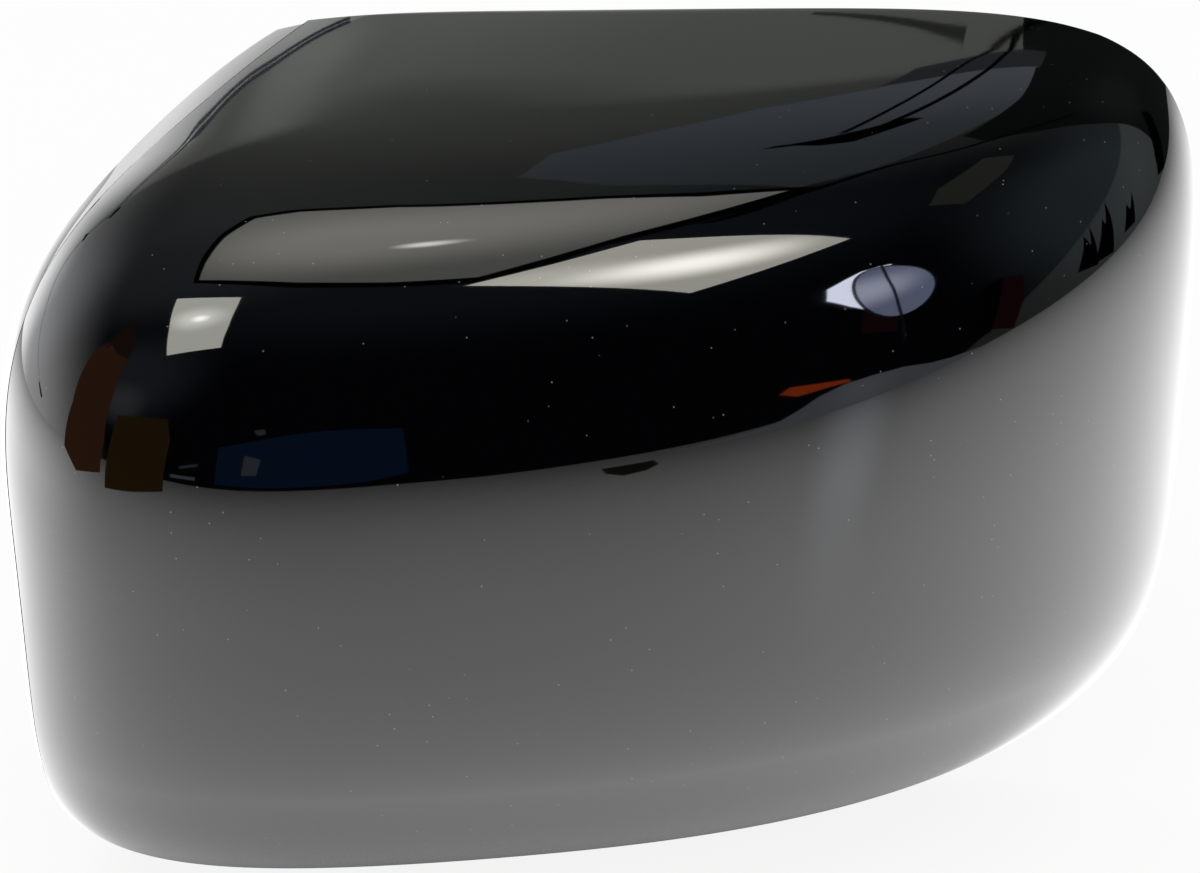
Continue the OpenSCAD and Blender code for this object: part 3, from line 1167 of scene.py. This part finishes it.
WINDOW_WALL = (
    Reflected("wall_below_rail", ROOM_BASE, (*RAIL[5:], (-170, 14.3), (-170, -4), (-146, -4)),
        glows=(*ROOM_GLOWS, Glow(-160, 8, 3, 13, (0.35, 0.35, 0.35))), distance=3.6),
    Reflected("window_frame", BLACK, ((-110, 61.5), (-132, 55.5), (-146, 48), (-154, 43), (-159, 43.5),
        (-166, 46.5), (-175, 52.5), (178, 57), (161, 62), (158, 69), (152, 79), (120, 84), (41, 84),
        (-9, 86.5), (-90, 79)), distance=3.25),
    Reflected("window", (0.5, 0.5, 0.46), ((-113, 62), (-130, 57.5), (-145, 50), (-154, 44.5), (-159, 45),
        (-166, 48), (-176, 54.5), (176, 59.5), (165.5, 62), (164, 70), (162, 75.5), (146, 83), (65, 86.5),
        (-73, 88), (-105, 78.5)), glows=(Glow(-158, 64, 4, 22, (0.62, 0.6, 0.56)),
        Glow(-167, 69.6, 0.1, 2.1, (3.6, 3.6, 3.5)))),
    Reflected("far_window", (0.1, 0.117, 0.135), ((189.5, 39), (189, 31), (187, 27.5), (185, 25),
        (181, 24), (177.5, 23.5), (172.5, 23), (169, 31.5), (167, 37.5), (165, 47), (163, 56), (166, 61),
        (180, 53), (185.5, 48)), glows=(Glow(172, 26, 2, 16, (0.035, 0.038, 0.042)),), distance=3.5),
    Reflected("dark_doorway", (0.01, 0.012, 0.011), ((176, -5), (176, 12), (175.3, 20.2), (173.5, 23),
        (169, 31.5), (167, 37.5), (164, 46), (157, 48), (150, 42), (144, 30), (141, 12), (139, -5)),
        glows=(Glow(152, 22, 3, 14, (0.01, 0.012, 0.012)),), distance=3.7),
    Reflected("dark_gap", (0.04, 0.044, 0.048), ((182, 24), (181, 22), (178, 21.4), (175, 20.8),
        (172.5, 20.5), (172, 23), (177.5, 23.6)), distance=3.55),
    Reflected("roof_pane", (0.085, 0.088, 0.07), ((105.5, 60), (123, 60.5), (143, 53), (137.5, 49.5),
        (126, 51.5), (102, 54))),
    Reflected("cable_knot", BLACK, ((181.5, 39.5), (180, 39), (178.5, 37.5), (177, 35.5), (175.5, 36.5),
        (176.5, 40.5), (177, 42.5), (179, 42)), distance=2.9),
    ReflectedLine("ceiling_seam", (0.03, 0.033, 0.03), curve_through(((184, 19.4), (182, 20.2),
        (180, 20.8), (178.7, 21))), widths=(0.15, 0.5)),
    ReflectedLine("cable_thick", BLACK, curve_through(((172.5, 19.5), (175.5, 21), (176.5, 24), (177, 28),
        (177.5, 35), (178, 39), (180, 40), (182, 39.5))), widths=(0.25, 0.8)),
    ReflectedLine("cable_thin", BLACK, curve_through(((175, 20.5), (178, 22), (179, 25), (179.5, 31),
        (179.5, 38))), widths=(0.2, 0.35)),
    ReflectedLine("beam", BLACK, curve_through(((152.5, 33), (153, 39), (155, 47), (157, 52), (161, 56),
        (161, 60), (159, 66), (154.5, 70.5), (153, 73))), widths=(0.6, 1.2)),
    ReflectedLine("rail_upper", RAIL_TONE, curve_through(tuple((turn, up + 0.25) for turn, up in RAIL)),
        widths=(0.06, 0.42)),
    ReflectedLine("rail_lower", RAIL_TONE, curve_through(tuple((turn, up - 0.25) for turn, up in RAIL)),
        widths=(0.06, 0.42)),
    ReflectedLine("rail_hook_left", BLACK, ((-93.5, 0.5), (-98.5, 3)), widths=(1.2, 0.7)),
    ReflectedLine("rail_hook_middle", BLACK, ((-140.5, 14.5), (-142.5, 13.5)), widths=(0.6, 0.9)),
    ReflectedLine("rail_hook_right", BLACK, ((-145.5, 16.5), (-148, 16)), widths=(0.6, 0.9)),
)

LAMP_OVAL = oval(middle=(63.1, 32), half_sizes=(6, 13), lean=0.085)

LIT_THINGS = (
    Reflected("roof_light", (2.5, 2.45, 2.2), ((33, 83), (115, 84), (147, 78), (81.5, 62.5), (60.5, 61),
        (46, 58)), glows=(Glow(68, 72.3, 0.3, 9.5, (5.8, 5.7, 5.4)),
        Glow(57, 79, 2, 9, (1.0, 1.0, 0.85)))),
    Reflected("softbox", (2.7, 2.7, 2.45), ((-94, 60), (-81.5, 71.5), (-68.5, 70), (-56, 67), (-46, 63),
        (-33.5, 53), (-48.5, 45), (-64, 54)), glows=(Glow(-65, 61.5, 0.3, 8, (2.4, 2.4, 2.3)),
        Glow(-64, 62, 0.2, 2.5, (3.5, 3.5, 3.5)))),
    Reflected("lamp_head", (5.6, 5.8, 7.0), ((54, 36.5), (56, 42), (59.5, 44), (63, 45.5), (66, 45),
        (67.5, 44), (62.5, 33.5), (57, 27), (55.5, 31)), distance=3.08),
    Reflected("lamp_dish", (0.66, 0.75, 1.15), LAMP_OVAL[1:],
        glows=(Glow(59, 35, 1, 10, (1.4, 1.45, 1.7)),), distance=3.04),
    ReflectedLine("dish_ring", (0.02, 0.02, 0.03), LAMP_OVAL, widths=(0.45, 0.45)),
    ReflectedLine("dish_stem", (0.02, 0.02, 0.03), curve_through(((66.5, 45.5), (63.5, 37.5), (61.5, 26),
        (61, 18), (61, 9))), distance=2.88, widths=(0.4, 0.5)),
)

THINGS_ROUND_ABOUT = (
    Reflected("paper_curl", (0.29, 0.3, 0.325), ((36, -3), (43, -2.3), (46, -1.5), (48, 0), (50, 2),
        (53, 3.2), (57, 2.8), (61, 1.8), (65.5, -0.5), (69, -1.7), (78, -3.6), (78, -5), (36, -5)),
        glows=(Glow(55.5, 0, 0.5, 6.5, (0.08, 0.09, 0.12)),), distance=1.44),
    Reflected("carton_left", (0.13, 0.055, 0.024), ((-68, -1.5), (-67.5, 13), (-72, 31), (-69, 40.5),
        (-68, 45), (-56, 34.5), (-52, 22), (-50, 7), (-51, -3), (-62, -6)), distance=0.5),
    Reflected("carton_flap", (0.05, 0.024, 0.012), ((-69, 34.5), (-72, 41.5), (-74, 47), (-60, 41),
        (-57, 36)), distance=0.49),
    Reflected("carton_right", (0.075, 0.042, 0.008), ((-49.5, -6.5), (-47.5, 7.5), (-47, 16.5),
        (-31.5, 19.5), (-29, 12.5), (-30, -2.5), (-40.5, -5)), distance=0.5),
    Reflected("blue_crate", (0.008, 0.03, 0.08), ((-15, -2.5), (-15, 9.5), (-8, 12), (0, 14.5), (5.5, 15),
        (13.5, 14), (14, 6), (14.5, -1), (10, -2.5), (4, -3), (-6, -3))),
    Reflected("plain_card", (0.13, 0.14, 0.17), ((-9.2, 7), (-6, 5.5), (-6.5, 0.5), (-9.5, 0.5)),
        distance=2.9),
    Reflected("plain_tag", (0.12, 0.13, 0.16), ((-8.5, 16), (-6.5, 16.5), (-6, 14.5), (-7.5, 14)),
        distance=2.9),
    Reflected("shelf_low", (0.2, 0.215, 0.25), ((-27, -1), (-20, -1), (-20, -2), (-27, -2))),
    Reflected("shelf_high", (0.1, 0.11, 0.13), ((-24.5, 2), (-19.5, 3.5), (-19.5, 2.5), (-24.5, 1))),
    Reflected("dark_cabinet", BLACK, ((73, 0), (73, 13.5), (76.5, 16), (79, 15), (77.5, 7.5), (76, -1.5)),
        distance=2.9),
    Reflected("red_cabinet", (0.03, 0.005, 0.006), ((74.5, 0.5), (74.5, 10), (76.5, 16), (83, 12),
        (82.5, 2.5), (81, -4))),
    Reflected("orange_cable", (0.9, 0.11, 0.02), ((45.5, 5), (47.5, 3), (51, 3), (54, 2.5), (53.5, 3.5),
        (50, 5), (46.5, 6.5)), distance=2.9),
    Reflected("dark_bead", (0.02, 0.02, 0.015), ((29, -3.2), (29.5, -4.5), (31, -5.4), (33, -5), (34, -4),
        (33.5, -3)), distance=0.8),
    Reflected("red_stool", (0.03, 0.006, 0.008), ((55, 18), (56.5, 26), (60.5, 21), (60, 13.5)),
        distance=3.1),
    Reflected("plant_left", BLACK, ((96.5, -0.5), (98.5, 5), (99.5, 10), (101, 4.5), (102, 12),
        (103, -3)), distance=2.9),
    Reflected("plant_middle", BLACK, ((102, -2), (106.5, 10), (107, 7), (110, 15), (109.5, 8.5),
        (108.5, -3.5)), distance=2.9),
    Reflected("plant_right", BLACK, ((113, -1.5), (116, 6), (117, 3), (120, 7.5), (118, -2)),
        distance=2.9),
    Reflected("door_post", BLACK, ((147.5, 12.5), (148.5, 8.5), (144, 2.5), (139, -3), (134, -1),
        (136.5, 3.5), (141.5, 8.5)), distance=2.9),
)

REFLECTED = WINDOW_WALL + LIT_THINGS + THINGS_ROUND_ABOUT


@dataclass(frozen=True)
class LightPool:
    """The lamps' pool of light on the paper, as gloss sees it: brightest beside and behind the cover."""

    peak: float = 1.856
    reach: float = 0.367
    power: float = 1.48
    squeeze: float = 0.467
    offset: tuple[float, float] = (-0.04, 0.118)
    far_glows: tuple[Glow, ...] = (
        Glow(55.5, 0, 0.5, 6.5, (0.36, 0.38, 0.44)), Glow(-98, 0, 10, 50, (0.8, 0.8, 0.8)),
        Glow(-155, 0, 14, 36, (0.5, 0.5, 0.5)))
    far_from: tuple[float, float] = (0.16, 0.4)
    fade_from: tuple[float, float] = (0.45, 1.45)
    faded: float = 0.7
    # painted contact shadow: how far from the cover the pool is darkened
    contact_shadow_reach: float = 0.035


@dataclass
class Studio:
    """White paper, soft light, dim room beyond the paper, and the camera."""

    form: CoverForm
    pool: LightPool = LightPool()
    floor_drop: float = 0.0008
    paper_reach: float = 1.45
    room_radius: float = 4.0
    azimuth: float = 7.36
    elevation: float = 25.46
    distance: float = 0.9
    lens: float = 129.6
    shift: tuple[float, float] = (0.0508, 0.0126)
    sensor_width: float = 36.0
    seen_range: tuple[float, float] = (0.01, 50.0)
    paper_colour: str = "#f6f6f6"
    paper_shine: float = 0.88
    surround_level: float = 0.9
    lamp_place: tuple[float, float, float] = (-0.7, -0.9, 1.3)
    lamp_size: float = 0.9
    lamp_power: float = 4.0
    centre: Vector = field(init=False)

    def __post_init__(self) -> None:
        """Find the dome's centre in the CAD model's frame."""
        self.centre = Vector(self.form.placed(np.zeros(3)))

    def camera(self) -> None:
        """Set the camera at the photograph's viewing angle."""
        back = direction(self.azimuth, self.elevation)
        deselect_all()
        bpy.ops.object.camera_add(location=self.centre + back * self.distance,
                                  rotation=back.to_track_quat("Z", "Y").to_euler())
        camera = bpy.context.object
        camera.data.sensor_width, camera.data.lens = self.sensor_width, self.lens
        camera.data.shift_x, camera.data.shift_y = self.shift
        camera.data.clip_start, camera.data.clip_end = self.seen_range
        bpy.context.scene.camera = camera

    def pool_light(self, tree: Tree, low: float) -> bpy.types.NodeSocket:
        """Shape the pool of light over the paper, with a painted contact shadow close to the cover.

        Args:
            tree: The paper's node tree.
            low: Height of the paper.

        Returns:
            The socket with the light's colour.
        """
        pool = self.pool
        place = add_node(tree, "TexCoord").outputs["Object"]
        middle = (self.centre.x + pool.offset[0], self.centre.y + pool.offset[1], low)
        away = add_node(tree, "VectorMath", {"operation": "SUBTRACT", 1: middle}, i0=place)
        drawn = add_node(tree, "VectorMath", {"operation": "MULTIPLY", 1: (pool.squeeze, 1, 1)},
                         i0=away.outputs[0])
        far = add_node(tree, "VectorMath", {"operation": "LENGTH"}, i0=drawn.outputs[0])
        share = add_node(tree, "Math", {"operation": "DIVIDE", 1: pool.reach}, i0=far.outputs["Value"])
        fall = add_node(tree, "Math", {"operation": "POWER", 1: pool.power}, i0=share.outputs[0])
        under = add_node(tree, "Math", {"operation": "ADD", 1: 1.0}, i0=fall.outputs[0])
        level = add_node(tree, "Math", {"operation": "DIVIDE", 0: pool.peak}, i1=under.outputs[0])
        below = Vector((self.centre.x, self.centre.y, low))
        glows = glowing(tree, below, BLACK, pool.far_glows)
        off = add_node(tree, "VectorMath", {"operation": "DISTANCE", 1: below}, i0=place)
        is_far = add_node(tree, "MapRange",
                          {"interpolation_type": "SMOOTHSTEP", 1: pool.far_from[0], 2: pool.far_from[1],
                           3: 0.0, 4: 1.0}, i0=off.outputs["Value"])
        extra = add_node(tree, "VectorMath", {"operation": "SCALE"}, i0=glows, Scale=is_far.outputs[0])
        lit = add_node(tree, "VectorMath", {"operation": "ADD"}, i0=level.outputs[0], i1=extra.outputs[0])
        # painted contact shadow: ambient occlusion darkens the pool where the cover stands close
        contact = add_node(tree, "AmbientOcclusion", {"samples": 8, "Distance": pool.contact_shadow_reach})
        fade = add_node(tree, "MapRange", {1: pool.fade_from[0], 2: pool.fade_from[1], 3: 1.0, 4: pool.faded},
                        i0=off.outputs["Value"])
        kept = add_node(tree, "Math", {"operation": "MULTIPLY"}, i0=contact.outputs["AO"],
                        i1=fade.outputs[0])
        return add_node(tree, "VectorMath", {"operation": "SCALE"}, i0=lit.outputs[0],
                        Scale=kept.outputs[0]).outputs[0]

    def paper(self) -> None:
        """Lay the white paper that the cover stands on."""
        deselect_all()
        low = CAD_BOX[0][2] - self.floor_drop
        bpy.ops.mesh.primitive_plane_add(size=2 * self.paper_reach,
                                         location=(self.centre.x, self.centre.y, low))
        paper = bpy.context.object
        paper.name = "paper_floor"
        bpy.ops.object.transform_apply(location=True)
        material, tree = fresh_material("white_paper")
        seen = add_node(tree, "LightPath")
        clear = add_node(tree, "Math", {"operation": "MAXIMUM"},
                         i0=seen.outputs["Is Camera Ray"], i1=seen.outputs["Is Transmission Ray"])
        direct = add_node(tree, "Math", {"operation": "MAXIMUM"},
                          i0=clear.outputs[0], i1=seen.outputs["Is Glossy Ray"])
        share = add_node(tree, "Math", {"operation": "MULTIPLY", 1: self.paper_shine}, i0=direct.outputs[0])
        tone = add_node(tree, "Mix", {"data_type": "RGBA", 7: (1, 1, 1, 1)}, i0=clear.outputs[0],
                        i6=self.pool_light(tree, low))
        matt = add_node(tree, "BsdfDiffuse", {0: linear(self.paper_colour)})
        white = add_node(tree, "Emission", {1: 1.0}, i0=tone.outputs[2])
        both = add_node(tree, "MixShader", i0=share.outputs[0], i1=matt.outputs[0], i2=white.outputs[0])
        add_node(tree, "OutputMaterial", i0=both.outputs[0])
        material.cycles.emission_sampling = "NONE"
        paper.data.materials.append(material)

    def room(self) -> None:
        """Put the dim room round the paper, which only gloss sees."""
        deselect_all()
        bpy.ops.mesh.primitive_uv_sphere_add(radius=self.room_radius, segments=48, ring_count=24,
                                             location=self.centre)
        room = bpy.context.object
        room.name = "dim_room"
        bpy.ops.object.transform_apply(location=True)
        room.data.materials.append(glow_material("dim_room", self.centre, ROOM_BASE, ROOM_GLOWS))
        only_in_gloss(room)

    def world(self) -> None:
        """Light the set evenly, with white behind it for the camera."""
        world = bpy.data.worlds.new("soft_light")
        world.use_nodes = True
        tree = world.node_tree
        tree.nodes.clear()
        seen = add_node(tree, "LightPath")
        level = add_node(tree, "MapRange", {1: 0.0, 2: 1.0, 3: self.surround_level, 4: 1.0},
                         i0=seen.outputs["Is Camera Ray"])
        light = add_node(tree, "Background", {0: (1, 1, 1, 1)}, i1=level.outputs[0])
        add_node(tree, "OutputWorld", i0=light.outputs[0])
        bpy.context.scene.world = world

    def key_light(self) -> None:
        """Hang one large soft lamp up and to the left."""
        deselect_all()
        spot = self.centre + Vector(self.lamp_place)
        aim = (spot - self.centre).to_track_quat("Z", "Y").to_euler()
        bpy.ops.object.light_add(type="AREA", location=spot, rotation=aim)
        lamp = bpy.context.object
        lamp.name = "key_lamp"
        lamp.data.shape, lamp.data.size, lamp.data.energy = "SQUARE", self.lamp_size, self.lamp_power
        lamp.visible_glossy = False

    def build(self) -> None:
        """Set up everything that isn't part of the cover."""
        bpy.context.scene.view_settings.view_transform = "Standard"
        self.camera()
        self.paper()
        self.room()
        self.world()
        self.key_light()
        for piece in REFLECTED:
            piece.build(self.centre)


def main() -> None:
    """Build the cover and its studio."""
    logging.basicConfig(level=logging.INFO, format="%(message)s")
    form = CoverForm()
    Studio(form).build()
    paint, moulded = GlossBlackPaint().make(), SatinMouldedAbs().make()
    shell = CoverShell(form).build(paint, moulded, PaintedShadowGapLine().make())
    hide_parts("mirror_cover")
    pieces = [shell, DoorSideTongue(form).build(paint)]
    pieces += InnerFittings(form).build(moulded)
    for piece in pieces:
        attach(piece, "root")
        LOG.info("%s: %d faces", piece.name, len(piece.data.polygons))


if __name__ == "__main__":
    main()
